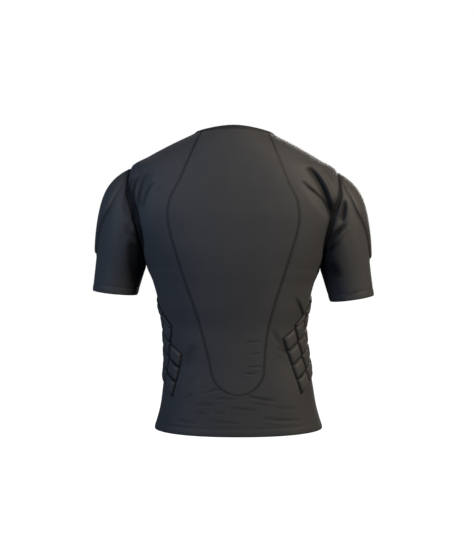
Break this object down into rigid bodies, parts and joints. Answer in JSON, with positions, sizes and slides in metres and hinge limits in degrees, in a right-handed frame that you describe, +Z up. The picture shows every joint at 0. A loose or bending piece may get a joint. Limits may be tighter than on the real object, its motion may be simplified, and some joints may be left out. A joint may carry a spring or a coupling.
{
  "type": "padded compression shirt",
  "caption": "Short-sleeved compression shirt in worn, hollow form, with a tongue-shaped back panel and foam pads on the shoulders and round the waist.",
  "frame": {"origin": "on the line of the shoulders, midway between the two sides of the neck, where the wearer holds the shirt up", "axes": "+Z up, -Y out of the back of the shirt, +X towards the wearer's right"},
  "size_m": [0.6341, 0.249, 0.6813],
  "materials": {
    "stretch_cloth": "smooth knitted stretch cloth with a soft satin sheen",
    "pad_cloth": "stretch cloth bonded over foam, soft satin",
    "neckband": "matt binding"
  },
  "bodies": {
    "root": {"centre_back_panel": "stretch_cloth", "back_panel": "stretch_cloth", "front_panel": "stretch_cloth", "sleeve_right": "stretch_cloth", "sleeve_left": "stretch_cloth", "neckband": "neckband", "shoulder_pad_right": "pad_cloth", "shoulder_pad_left": "pad_cloth", "rib_pad_right": "pad_cloth", "rib_pad_left": "pad_cloth"}
  },
  "joints": []
}
